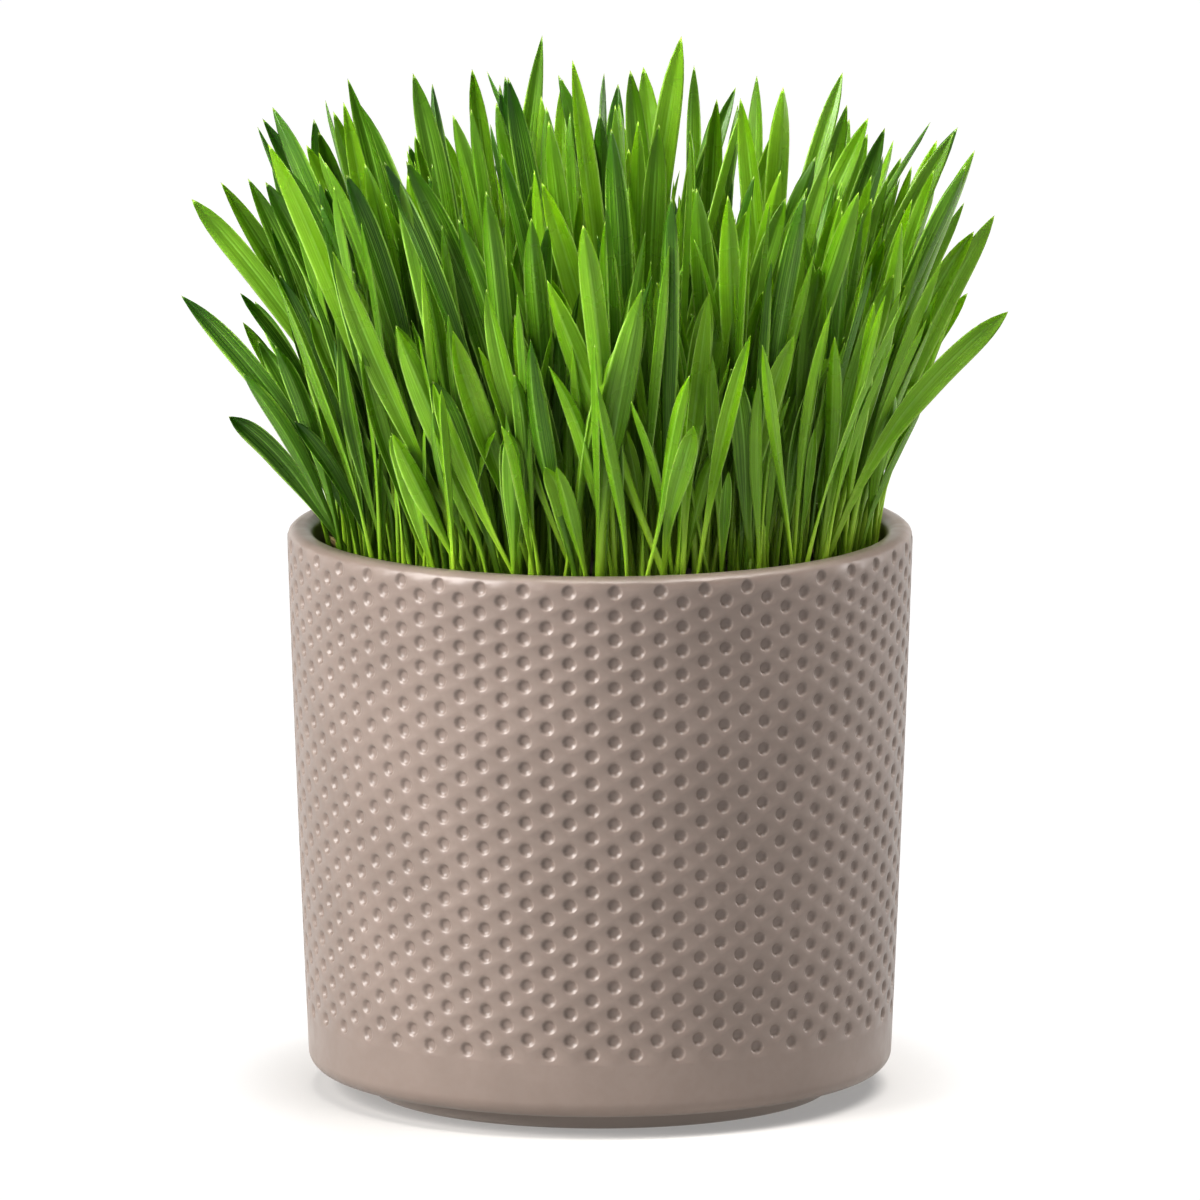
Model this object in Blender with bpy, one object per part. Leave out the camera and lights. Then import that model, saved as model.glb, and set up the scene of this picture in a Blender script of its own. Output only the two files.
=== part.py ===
"""Potted cat grass: a dimpled ceramic pot filled with soil, in which a dense head of grass grows.

Units are metres and +Z is up. The origin is the middle of the foot ring, on the surface that
the pot stands on. -Y is the front and +X is the right-hand side seen from there.
"""

import math
import random
from dataclasses import dataclass

import bmesh
import bpy
from mathutils import Matrix, Vector
from mathutils.bvhtree import BVHTree

MM = 0.001
SHARP_ANGLE = math.radians(35)

# The pot: a nearly straight cup on a ring foot
POT_HEIGHT = 136 * MM
POT_TOP_RADIUS = 75 * MM
POT_LOW_RADIUS = 70.2 * MM
POT_SWELL = 0.19 * MM
WALL = 6.5 * MM
CORNER_RADIUS = 4.2 * MM
BODY_UNDERSIDE = 5 * MM
FLOOR_TOP = 12 * MM
FOOT_RADIUS = 56 * MM
FOOT_INNER_RADIUS = 50 * MM
FOOT_RECESS = 2.5 * MM
RIM_ROUNDING = 3.2 * MM
POT_SIDES = 48

# The dimples: staggered pits on a grid of points, fewer and larger here than on the real pot.
# The grid's first and last rows stay smooth, and every fourth point of the others is pushed in.
DIMPLE_GRID_SIDES = 96
DIMPLE_GRID_ROWS = 23
DIMPLE_GRID_LOW = 17 * MM
DIMPLE_GRID_HIGH = 132 * MM
DIMPLE_EVERY = 4
DIMPLE_DEPTH = 1.3 * MM

# The soil and the holes that the root clumps stand in
GAP = 0.3 * MM
SOIL_TOP = 127 * MM
SOIL_SIDES = 36
SOIL_WALL_GAP = 0.5 * MM
CLUMP_RADIUS = 6.8 * MM
CLUMP_SIDES = 6
CLUMP_DEPTH = 9 * MM
CLUMP_RISE = 2.5 * MM
CLUMP_RINGS = (
    # number of clumps, ring radius, turn of the first one in degrees
    (5, 13.5 * MM, 20),
    (10, 28.9 * MM, 4),
    (15, 44.2 * MM, 12),
    (20, 59.5 * MM, 0),
)

# The seed husks that lie against the wall, at the gaps between the outer clumps
HUSK_TURNS = (171, 189, 297)
HUSK_RING = 64.2 * MM
HUSK_LENGTH = 6.4 * MM
HUSK_THICKNESS = 2.3 * MM
HUSK_TILT = math.radians(40)
HUSK_LIFT = 3.2 * MM

# The shoots
SHOOTS_PER_CLUMP = 6
SHOOT_CIRCLE = 4.0 * MM
ROOT_DEPTH = 1.5 * MM
STEM_SHARE = 0.34
WIDEST_AT = 0.7
TIP_FULLNESS = 2.4
STEM_KEEL = 1.5 * MM
BLADE_KEEL = 0.9 * MM
BLADE_STATIONS = (0.0, 0.36, 0.7, 0.9)
CLEARANCE = 0.3 * MM
GRASS_RADIUS = 66 * MM
TIP_REACH = 91 * MM
TIP_HEIGHT = 249 * MM
TRIES = 60
SEED = 41

# The blades that draw the outline and the front of the head, chosen one by one.
# Each holds its root x, y, its tip x, y, z, its width and the way its face looks, in mm and degrees.
LEADING_BLADES = (
    (-57, -18, -88.5, -30, 168, 6.4, 250),
    (-55, -12, -100.2, -10, 194, 6.6, 255),
    (-50, 5, -97.9, 5, 215, 6.8, 262),
    (-54, 18, -91, 12, 218, 6.4, 285),
    (-46, 13, -81, 15, 233, 6.2, 275),
    (-57, -4, -78.8, -5, 228, 6.6, 265),
    (-42, -24, -74.7, -20, 226.5, 7.4, 270),
    (-50, 30, -67.7, 24, 228.5, 6.0, 280),
    (-41, 2, -63.8, 0, 237, 6.6, 290),
    (-34, 14, -60.5, 10, 243.5, 6.6, 255),
    (-29, 6, -44.8, 5, 245.5, 7.2, 265),
    (-25, 17, -30.7, 15, 245, 5.6, 280),
    (-7, -6, -22, -5, 246, 6.6, 270),
    (-17, 3, -13.8, 5, 254.7, 6.2, 262),
    (1, -2, -6.6, 0, 249.5, 6.2, 285),
    (12, 2, 7.2, 0, 247, 6.6, 275),
    (8, 10, 19.5, 5, 254.5, 7.4, 260),
    (25, 12, 28, 10, 238.5, 6.0, 270),
    (38, -3, 33.5, -5, 241, 6.6, 255),
    (30, 19, 44.6, 15, 234.5, 6.2, 285),
    (42, 2, 59.1, 0, 238.7, 7.0, 275),
    (50, 10, 68.3, 10, 231.5, 6.6, 265),
    (52, 24, 72.4, 22, 222.5, 5.6, 270),
    (50, 3, 84.7, 6, 231, 7.2, 265),
    (60, 20, 87.6, 22, 211.5, 5.0, 300),
    (60, -6, 94.4, -4, 212.5, 6.4, 280),
    (54, -17, 89.3, -16, 210.5, 6.8, 275),
    (56, -31, 97.2, -31, 193.5, 7.2, 282),
    (52, 28, 81.8, 30, 195, 5.4, 260),
    (-17, -40, -46, -45, 232, 7.6, 258),
    (9, -45, -13.8, -49, 227.5, 7.4, 262),
    (21, -48, 34.7, -55, 221.5, 7.4, 285),
    (13, -34, 14, -36, 239.5, 7.0, 272),
    (-1, -60, 10.5, -68, 205, 7.4, 282),
    (21, -56, 13.5, -64, 206, 6.8, 260),
    (27, -60, 25.8, -68, 204, 6.6, 275),
    (43, -48, 40.3, -58, 204.5, 7.2, 268),
    (-6, -56, -27, -62, 204, 7.4, 255),
    (6, -53, -12, -51, 205, 7.2, 262),
    (-43, -47, -56.3, -52, 187, 6.6, 262),
    (-35, -53, -49.6, -60, 168.5, 6.2, 250),
    (-24, -58, -39.7, -66, 182.5, 6.8, 258),
    (-29, -50, -48.4, -57, 194.5, 7.4, 255),
    (-20, -60, -21.8, -68, 171, 7.2, 272),
    (-6, -63, -13, -72, 163, 6.4, 264),
    (35, -57, 31, -68, 186, 6.4, 262),
    (28, -56, 46, -62, 193, 6.6, 284),
    (-38, -38, -63.6, -37, 206.5, 7.4, 258),
    (56, -34, 69.8, -40, 204, 6.8, 278),
    (47, -42, 52, -50, 207.5, 7.2, 270),
    (48, -28, 64.7, -28, 220.5, 6.8, 280),
    (4, 60, 8, 93, 196, 6.8, 80),
    (-30, 54, -48, 82, 205, 6.6, 100),
    (34, 52, 52, 80, 203, 6.8, 95),
    (14, -63, 22, -91, 176, 6.0, 268),
)


@dataclass
class Blade:
    """One blade of grass: a tapering strip along an arc from its root to its tip."""

    root: Vector
    tip: Vector
    width: float
    face: float
    twist: float
    bow: float


def wall_radius(height):
    """The outer radius of the pot's wall, which swells very slightly between foot and rim."""
    low = BODY_UNDERSIDE + CORNER_RADIUS
    share = (height - low) / (DIMPLE_GRID_HIGH - low)
    return POT_LOW_RADIUS + (POT_TOP_RADIUS - POT_LOW_RADIUS) * share + 4 * POT_SWELL * share * (1 - share)


def arc_points(centre_r, centre_z, radius, start, stop, steps):
    """Points of a round edge in the pot's profile, from one angle to another in degrees."""
    points = []
    for step in range(steps + 1):
        angle = math.radians(start + (stop - start) * step / steps)
        points.append((centre_r + radius * math.cos(angle), centre_z + radius * math.sin(angle)))
    return points


def pot_profile():
    """The pot's rings as (radius, height, sides), from its underside up the outside to its inner floor."""
    corner_z = BODY_UNDERSIDE + CORNER_RADIUS
    corner_r = wall_radius(corner_z) - CORNER_RADIUS
    outline = [
        (0, FOOT_RECESS),
        (FOOT_INNER_RADIUS, FOOT_RECESS),
        (FOOT_INNER_RADIUS, 0),
        (FOOT_RADIUS, 0),
        (FOOT_RADIUS, BODY_UNDERSIDE),
    ]
    outline += arc_points(corner_r, corner_z, CORNER_RADIUS, -90, 0, 2)
    rings = [(radius, height, POT_SIDES) for radius, height in outline]
    grid_pitch = (DIMPLE_GRID_HIGH - DIMPLE_GRID_LOW) / (DIMPLE_GRID_ROWS - 1)
    for row in range(DIMPLE_GRID_ROWS):
        height = DIMPLE_GRID_LOW + grid_pitch * row
        rings.append((wall_radius(height), height, DIMPLE_GRID_SIDES))
    rim_middle = POT_TOP_RADIUS - WALL / 2
    outline = arc_points(rim_middle, POT_HEIGHT - RIM_ROUNDING, RIM_ROUNDING, 10, 170, 4)
    outline += [(POT_LOW_RADIUS - WALL, FLOOR_TOP), (0, FLOOR_TOP)]
    rings += [(radius, height, POT_SIDES) for radius, height in outline]
    return rings


def is_dimple(row, side):
    """Whether a point of the dimple grid is the bottom of a pit."""
    inner_row = 0 < row < DIMPLE_GRID_ROWS - 1
    return inner_row and (side + row * DIMPLE_EVERY // 2) % DIMPLE_EVERY == 0


def ring_faces(low, high, row):
    """Faces between two rings of vertices; row is the lower ring's row in the dimple grid."""
    faces = []
    sides = max(len(low), len(high))
    for side in range(sides):
        turn = (side + 1) % sides
        if len(low) == 1:
            faces.append((low[0], high[turn], high[side]))
        elif len(high) == 1:
            faces.append((low[side], low[turn], high[0]))
        elif len(low) < len(high):
            corner = low[(side + 1) // 2 % len(low)]
            faces.append((corner, high[turn], high[side]))
            if side % 2 == 0:
                faces.append((low[side // 2], low[(side // 2 + 1) % len(low)], high[turn]))
        elif len(low) > len(high):
            corner = high[(side + 1) // 2 % len(high)]
            faces.append((low[side], low[turn], corner))
            if side % 2 == 0:
                faces.append((low[turn], high[(side // 2 + 1) % len(high)], high[side // 2]))
        elif is_dimple(row, side) or is_dimple(row + 1, side + 1):
            faces.append((low[side], low[turn], high[side]))
            faces.append((low[turn], high[turn], high[side]))
        elif sides == DIMPLE_GRID_SIDES:
            faces.append((low[side], low[turn], high[turn]))
            faces.append((low[side], high[turn], high[side]))
        else:
            faces.append((low[side], low[turn], high[turn], high[side]))
    return faces


def pot_mesh():
    """The pot turned from its rings, with the pits pushed into its wall."""
    rings = pot_profile()
    grid_start = [ring[2] for ring in rings].index(DIMPLE_GRID_SIDES)
    points = []
    rows = []
    for number, (radius, height, sides) in enumerate(rings):
        if radius == 0:
            rows.append([len(points)])
            points.append(Vector((0, 0, height)))
            continue
        rows.append(list(range(len(points), len(points) + sides)))
        for side in range(sides):
            reach = radius - DIMPLE_DEPTH if is_dimple(number - grid_start, side) else radius
            angle = 2 * math.pi * side / sides
            points.append(Vector((reach * math.cos(angle), reach * math.sin(angle), height)))
    faces = []
    for number in range(len(rows) - 1):
        faces += ring_faces(rows[number], rows[number + 1], number - grid_start)
    return points, faces


def new_object(name, points, faces, material):
    """An object in the scene, made from points and faces, smooth but for its sharp edges."""
    mesh = bpy.data.meshes.new(name)
    mesh.from_pydata(points, [], faces)
    mesh.update()
    mesh.shade_smooth()
    mesh.set_sharp_from_angle(angle=SHARP_ANGLE)
    mesh.materials.append(material)
    item = bpy.data.objects.new(name, mesh)
    bpy.context.scene.collection.objects.link(item)
    return item


def new_material(name, color, roughness):
    """A Principled material with the part's colour."""
    material = bpy.data.materials.new(name)
    material.use_nodes = True
    shader = material.node_tree.nodes["Principled BSDF"]
    shader.inputs["Base Color"].default_value = (*color, 1)
    shader.inputs["Roughness"].default_value = roughness
    shader.inputs["Metallic"].default_value = 0
    return material


def apply_boolean(item, operation, tools):
    """Join tools to an object, or cut them from it, and remove them."""
    group = bpy.data.collections.new(item.name + "_tools")
    bpy.context.scene.collection.children.link(group)
    for tool in tools:
        bpy.context.scene.collection.objects.unlink(tool)
        group.objects.link(tool)
    boolean = item.modifiers.new("boolean", "BOOLEAN")
    boolean.operation = operation
    boolean.operand_type = "COLLECTION"
    boolean.collection = group
    graph = bpy.context.evaluated_depsgraph_get()
    result = bpy.data.meshes.new_from_object(item.evaluated_get(graph))
    item.modifiers.clear()
    item.data = result
    for tool in tools:
        bpy.data.objects.remove(tool)
    bpy.data.collections.remove(group)


def clump_centres():
    """The middle of each root clump, and its turn, on rings round the pot's axis."""
    centres = []
    for count, radius, first_turn in CLUMP_RINGS:
        for index in range(count):
            turn = math.radians(first_turn) + 2 * math.pi * index / count
            centres.append((Vector((radius * math.cos(turn), radius * math.sin(turn), SOIL_TOP)), turn))
    return centres


def prism(name, centre, turn, radius, bottom, top, material):
    """A straight prism with few sides, upright at a clump's place."""
    shape = bmesh.new()
    bmesh.ops.create_cone(
        shape, cap_ends=True, segments=CLUMP_SIDES, radius1=radius, radius2=radius, depth=top - bottom
    )
    bmesh.ops.translate(shape, verts=shape.verts, vec=(0, 0, (top + bottom) / 2))
    mesh = bpy.data.meshes.new(name)
    shape.to_mesh(mesh)
    shape.free()
    mesh.materials.append(material)
    item = bpy.data.objects.new(name, mesh)
    item.location = centre
    item.rotation_euler.z = turn
    bpy.context.scene.collection.objects.link(item)
    return item


def make_soil(centres, material):
    """The soil: a solid that fills the pot, with a plain hole for each root clump."""
    inner_top = POT_TOP_RADIUS - WALL - SOIL_WALL_GAP
    inner_low = POT_LOW_RADIUS - WALL - SOIL_WALL_GAP
    bottom = FLOOR_TOP + GAP
    points = []
    for radius, height in ((inner_low, bottom), (inner_top, SOIL_TOP)):
        for side in range(SOIL_SIDES):
            angle = 2 * math.pi * side / SOIL_SIDES
            points.append(Vector((radius * math.cos(angle), radius * math.sin(angle), height)))
    low = list(range(SOIL_SIDES))
    high = list(range(SOIL_SIDES, 2 * SOIL_SIDES))
    faces = [tuple(reversed(low)), tuple(high)]
    for side in range(SOIL_SIDES):
        turn = (side + 1) % SOIL_SIDES
        faces.append((low[side], low[turn], high[turn], high[side]))
    soil = new_object("soil", points, faces, material)
    hole_radius = CLUMP_RADIUS + GAP / math.cos(math.pi / CLUMP_SIDES)
    cutters = []
    for centre, turn in centres:
        cutters.append(prism("hole", centre, turn, hole_radius, -CLUMP_DEPTH - GAP, GAP * 10, material))
    apply_boolean(soil, "DIFFERENCE", cutters)
    return soil


def husk_mesh(turn):
    """A pointed seed husk that leans on the wall, in world coordinates."""
    shape = bmesh.new()
    bmesh.ops.create_uvsphere(shape, u_segments=6, v_segments=5, radius=0.5)
    bmesh.ops.scale(shape, verts=shape.verts, vec=(HUSK_THICKNESS, HUSK_THICKNESS, HUSK_LENGTH))
    lean = Matrix.Rotation(math.pi / 2 - HUSK_TILT, 4, "Y")
    place = Matrix.Rotation(turn, 4, "Z") @ Matrix.Translation((HUSK_RING, 0, SOIL_TOP + HUSK_LIFT))
    bmesh.ops.transform(shape, matrix=place @ lean, verts=shape.verts)
    shape.verts.index_update()
    points = [vert.co.copy() for vert in shape.verts]
    faces = [tuple(vert.index for vert in face.verts) for face in shape.faces]
    shape.free()
    return points, faces


def blade_width(along, width):
    """A blade's width: a narrow stem that widens, and closes in a full, pointed tip."""
    if along < WIDEST_AT:
        grown = along / WIDEST_AT
        return width * (STEM_SHARE + (1 - STEM_SHARE) * grown * grown * (3 - 2 * grown))
    closed = (along - WIDEST_AT) / (1 - WIDEST_AT)
    return width * (1 - closed**TIP_FULLNESS)


def blade_mesh(blade, grow=0.0):
    """A blade as a closed strip with a flat face and a keel behind, thickened by grow all round."""
    chord = blade.tip - blade.root
    flat = Vector((chord.x, chord.y, 0))
    rise = chord.normalized()
    upward = (Vector((0, 0, 1)) - rise * rise.z).normalized() if flat.length > MM else Vector()
    knee = (blade.root + blade.tip) / 2 + upward * blade.bow * chord.length
    points = []
    for along in BLADE_STATIONS:
        centre = blade.root.lerp(knee, along).lerp(knee.lerp(blade.tip, along), along)
        ahead = (knee - blade.root).lerp(blade.tip - knee, along).normalized()
        turn = blade.face + blade.twist * along
        look = Vector((math.cos(turn), math.sin(turn), 0))
        side = look.cross(ahead).normalized()
        out = ahead.cross(side)
        half = blade_width(along, blade.width) / 2 + grow
        keel = STEM_KEEL + (BLADE_KEEL - STEM_KEEL) * min(1, along / BLADE_STATIONS[1])
        points.append(centre + out * grow - side * half)
        points.append(centre + out * grow + side * half)
        points.append(centre - out * (keel + grow))
    faces = [(0, 1, 2)]
    for station in range(len(BLADE_STATIONS) - 1):
        left, right, back = 3 * station, 3 * station + 1, 3 * station + 2
        next_left, next_right, next_back = left + 3, right + 3, back + 3
        faces.append((left, next_right, right))
        faces.append((left, next_left, next_right))
        faces.append((left, back, next_back))
        faces.append((left, next_back, next_left))
        faces.append((back, right, next_right))
        faces.append((back, next_right, next_back))
    tip = len(points)
    points.append(blade.tip + (blade.tip - knee).normalized() * grow)
    faces.append((tip - 3, tip, tip - 2))
    faces.append((tip - 3, tip - 1, tip))
    faces.append((tip - 1, tip - 2, tip))
    return points, faces


def root_places(centres):
    """The places where shoots stand: one in the middle of each clump and the rest round it."""
    places = []
    for clump, (centre, turn) in enumerate(centres):
        root = centre - Vector((0, 0, ROOT_DEPTH))
        places.append((clump, root.copy()))
        for index in range(SHOOTS_PER_CLUMP - 1):
            angle = turn + 2 * math.pi * index / (SHOOTS_PER_CLUMP - 1)
            places.append((clump, root + Vector((math.cos(angle), math.sin(angle), 0)) * SHOOT_CIRCLE))
    return places


def natural_bow(root, tip, draw):
    """How far a blade arches: one that leans far starts upright and bends over more."""
    chord = tip - root
    lean = Vector((chord.x, chord.y)).length / chord.length
    return 0.02 + 0.15 * lean + draw.uniform(0, 0.05)


def leading_blade(root, leader, draw, attempt):
    """A chosen blade, on the nearest free root, that gives way a little more with each try."""
    tip = Vector(leader[2:5]) * MM
    slack = 0.15 * MM * attempt
    tip += Vector((0, draw.uniform(-slack, slack), draw.uniform(-slack, 0)))
    return Blade(
        root=root,
        tip=tip,
        width=leader[5] * MM * (1 - 0.004 * attempt),
        face=math.radians(leader[6] + draw.uniform(-1, 1) * 1.5 * attempt),
        twist=math.radians(draw.uniform(-15, 15)),
        bow=natural_bow(root, tip, draw) + 0.001 * attempt,
    )


def common_blade(root, draw, attempt):
    """A blade by the general rule: it leans outwards more, and is more often short, near the wall."""
    spread = min(1, Vector((root.x, root.y)).length / GRASS_RADIUS)
    short = draw.random() < 0.08 + 0.27 * spread
    lean = math.radians(3 + (22 if short else 16) * spread + draw.gauss(0, 4.5))
    heading = math.atan2(root.y, root.x) + math.radians(draw.gauss(0, 24 + 60 * (1 - spread)))
    length = draw.uniform(45, 88) if short else draw.uniform(94, 122 - 8 * spread)
    length *= MM * (1 - 0.006 * attempt)
    out = Vector((math.cos(heading), math.sin(heading), 0)) * math.sin(lean)
    tip = root + (out + Vector((0, 0, math.cos(lean)))) * (length + ROOT_DEPTH)
    width = draw.uniform(5.0, 6.2) if short else draw.uniform(5.6, 7.4)
    return Blade(
        root=root,
        tip=tip,
        width=width * MM * (1 - 0.005 * attempt),
        face=heading + math.pi + math.radians(draw.uniform(-80, 80)),
        twist=math.radians(draw.uniform(-40, 40)),
        bow=natural_bow(root, tip, draw),
    )


def mesh_box(points):
    """The lowest and highest corner of a set of points."""
    low = Vector(min(point[axis] for point in points) for axis in range(3))
    high = Vector(max(point[axis] for point in points) for axis in range(3))
    return low, high


def is_clear(blade, placed):
    """Whether a blade, a little thickened, touches nothing that is already in place."""
    points, faces = blade_mesh(blade, CLEARANCE)
    low, high = mesh_box(points)
    tree = None
    for other_low, other_high, other_tree in placed:
        if any(low[axis] > other_high[axis] or high[axis] < other_low[axis] for axis in range(3)):
            continue
        if tree is None:
            tree = BVHTree.FromPolygons(points, faces)
        if tree.overlap(other_tree):
            return False
    return True


def obstacle(points, faces):
    """A shape's box and search tree, for later blades to keep clear of."""
    low, high = mesh_box(points)
    return low, high, BVHTree.FromPolygons(points, faces)


def object_shape(item):
    """The points and faces of an object that stands at the origin."""
    points = [vert.co.copy() for vert in item.data.vertices]
    faces = [tuple(face.vertices) for face in item.data.polygons]
    return points, faces


def lay_out_blades(places, fixed):
    """Give each root a blade that is clear of all the others; a root that finds none stays bare."""
    draw = random.Random(SEED)
    placed = [obstacle(*object_shape(item)) for item in fixed]
    blades = []
    free = list(places)
    for leader in LEADING_BLADES:
        wanted = Vector((leader[0] * MM, leader[1] * MM, SOIL_TOP - ROOT_DEPTH))
        spot = min(free, key=lambda place: (place[1] - wanted).length)
        free.remove(spot)
        for attempt in range(TRIES):
            blade = leading_blade(spot[1], leader, draw, attempt)
            if is_clear(blade, placed):
                blades.append((spot[0], blade))
                placed.append(obstacle(*blade_mesh(blade)))
                break
    draw.shuffle(free)
    for clump, root in free:
        for attempt in range(TRIES):
            blade = common_blade(root, draw, attempt)
            reach = Vector((blade.tip.x, blade.tip.y)).length
            if reach < TIP_REACH and blade.tip.z < TIP_HEIGHT and is_clear(blade, placed):
                blades.append((clump, blade))
                placed.append(obstacle(*blade_mesh(blade)))
                break
    return blades


def make_tuft(number, centre, turn, blades, material):
    """A tuft: a root clump with the shoots that grow from it, joined in one solid."""
    name = f"tuft_{number:02d}"
    tuft = prism(name, centre, turn, CLUMP_RADIUS, -CLUMP_DEPTH, CLUMP_RISE, material)
    shoots = []
    for blade in blades:
        points, faces = blade_mesh(blade)
        shoots.append(new_object("shoot", points, faces, material))
    apply_boolean(tuft, "UNION", shoots)


def main():
    for item in list(bpy.data.objects):
        bpy.data.objects.remove(item)
    glaze = new_material("glaze", (0.39, 0.31, 0.26), 0.35)
    earth = new_material("earth", (0.035, 0.022, 0.013), 0.9)
    straw = new_material("straw", (0.50, 0.38, 0.17), 0.7)
    green = new_material("green", (0.10, 0.28, 0.02), 0.45)

    centres = clump_centres()
    fixed = [new_object("pot", *pot_mesh(), glaze), make_soil(centres, earth)]
    for number, turn in enumerate(HUSK_TURNS, 1):
        fixed.append(new_object(f"seed_husk_{number}", *husk_mesh(math.radians(turn)), straw))

    blades = lay_out_blades(root_places(centres), fixed)
    for number, (centre, turn) in enumerate(centres, 1):
        own = [blade for clump, blade in blades if clump == number - 1]
        make_tuft(number, centre, turn, own, green)


main()
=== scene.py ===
"""The looks of the potted cat grass: a dimpled ceramic pot, its soil and a dense head of leaves.

Units are metres, +Z is up and -Y is the front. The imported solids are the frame: each tuft's
blades are read from its solid, and finer leaves grow along them.
"""

import math
import random
from dataclasses import dataclass

import bmesh
import bpy
import numpy as np
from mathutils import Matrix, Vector, noise


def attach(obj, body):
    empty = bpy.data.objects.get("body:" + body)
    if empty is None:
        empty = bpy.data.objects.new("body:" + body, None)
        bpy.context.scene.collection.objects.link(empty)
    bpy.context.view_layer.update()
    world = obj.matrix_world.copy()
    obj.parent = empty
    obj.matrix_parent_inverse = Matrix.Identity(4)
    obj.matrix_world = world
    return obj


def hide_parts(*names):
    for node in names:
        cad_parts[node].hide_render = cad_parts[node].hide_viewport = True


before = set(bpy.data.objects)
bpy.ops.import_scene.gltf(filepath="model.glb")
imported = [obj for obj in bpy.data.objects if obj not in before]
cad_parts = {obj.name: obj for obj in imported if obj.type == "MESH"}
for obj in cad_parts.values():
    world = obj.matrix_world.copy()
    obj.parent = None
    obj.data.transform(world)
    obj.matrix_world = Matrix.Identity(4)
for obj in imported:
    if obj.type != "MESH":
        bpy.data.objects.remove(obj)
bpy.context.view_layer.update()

MM = 0.001
SEED = 29

# The camera: far off, looking slightly down at the pot's front
VIEW_TARGET = Vector((0, 0, 0.1183))
VIEW_ELEVATION = math.radians(10.0)
VIEW_DISTANCE = 5.1
VIEW_SPAN = 0.2882
SENSOR_WIDTH = 36

CONTRAST_GAMMA = 0.76

# The floor shows the pot's shadow only near it: the reach over which the shadow fades out, how
# little it counts to the front and back, and the floor's own glow close by and further away
FLOOR_FADE = (0.052, 0.124)
FLOOR_FADE_DEPTH = 0.8
FLOOR_GLOW = (0.35, 0.985)
FLOOR_HALF = 9

# The white round the object: its glow near the horizon fades into a dim sky between two rises,
# where 0 is level and 1 is straight up
HORIZON_GLOW = 1.3
HORIZON_TOP = 0.22
SKY_START = 0.30
SKY_LIGHT = 0.10

# The lights, which all face the middle of the object: name, place, width, height and watts
LIGHTS_FACE = Vector((0, 0, 0.12))
LIGHTS = (
    ("key", Vector((-1.66, -0.90, 1.20)), 1.5, 1.5, 92),
    ("above", Vector((0.40, -0.10, 2.05)), 1.7, 1.7, 100),
    ("strip", Vector((1.25, 0.42, 0.40)), 0.08, 0.9, 4.5),
)

# The pot's wall and foot
POT_HEIGHT = 136.5 * MM
POT_TOP_RADIUS = 75 * MM
POT_LOW_RADIUS = 70.2 * MM
POT_SWELL = 0.19 * MM
SWELL_TOP = 132 * MM
WALL = 6.5 * MM
CORNER_RADIUS = 4.2 * MM
UNDERSIDE = 5 * MM
FLOOR_TOP = 12 * MM
FOOT_RADIUS = 56 * MM
FOOT_INNER_RADIUS = 50 * MM
FOOT_RECESS = 2.5 * MM
FOOT_EDGE = 0.8 * MM
RIM_ROUNDING = 2.7 * MM

# The dimples: staggered rows, the upper ones a little closer together
DIMPLES_PER_ROW = 43
DIMPLE_ROWS = 36
CLOSE_ROWS = 8
CLOSE_PITCH = 2.89 * MM
ROW_PITCH = 3.305 * MM
TOP_ROW = 133.2 * MM
DIMPLE_PHASE = math.radians(2.7)
DIMPLE_RADIUS = 1.7 * MM
DIMPLE_DEPTH = 0.9 * MM
DIMPLE_RINGS = (
    # share of the radius, share of the depth
    (0.48, 0.97),
    (0.78, 0.78),
    (1.02, 0.14),
    (1.2, 0.0),
)
DIMPLE_EDGE_THINNESS = 0.2
CELL_SIDES = 12
BAND_TOP = 135.3 * MM
BAND_MARGIN = 2.9 * MM
WALL_SIDES = 4 * DIMPLES_PER_ROW
HALF_STEP = math.pi / DIMPLES_PER_ROW
WALL_FRONT = -math.pi / 2 + DIMPLE_PHASE

# The soil bed
SOIL_TOP = 127 * MM
SOIL_BOTTOM = 110 * MM
SOIL_RADIUS = 67.6 * MM
SOIL_RINGS = 46
SOIL_SIDES = 150
MOUND_RISE = 2.2 * MM
MOUND_RADIUS = 7.5 * MM
SOIL_ROUGHNESS = 1.3 * MM
SOIL_TAPER = 0.99
CRUMBS = 420
CRUMB_REACH = 0.97
CRUMB_SIZES = (0.4 * MM, 1.5 * MM)

# The blades as the solids hold them: stations along a blade, and where each clump of roots ends
STATION_LOW = 0.36
STATION_MIDDLE = 0.7
STATION_HIGH = 0.9
CLUMP_TOP = 129.5 * MM

# How near two points have to be to be joined: in a tuft's solid, and in a new mesh
SOLID_WELD = 0.001 * MM
MESH_WELD = 0.01 * MM

# The leaves
LEAF_STEPS = 30
FACE_COLUMNS = (-1, -0.78, -0.52, -0.25, 0, 0.25, 0.52, 0.78, 1)
STEM_SHARE = 0.26
WIDENING = 1.9
VISIBLE_WIDTH = 0.86
STEM_DEPTH = 1.3 * MM
LEAF_THICKNESS = 0.24 * MM
MIDRIB_THICKNESS = 0.25 * MM
MIDRIB_GROOVE = 0.12 * MM
FOLD_DEPTH = 1.4 * MM
LEAF_TONE = 0.44
LEAF_TONE_SPREAD = 0.27

# The further leaves, which have fewer steps and a wider spread of brightness
YOUNG_STEPS = 20
YOUNG_TONE_SPREAD = 0.28


@dataclass
class Kind:
    """A kind of further leaf between the ones in the solids; its angles are in degrees."""

    count: int
    ring: tuple
    length: tuple
    width: tuple
    tone: float
    outward: float
    sideways: float
    turn: float


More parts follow.
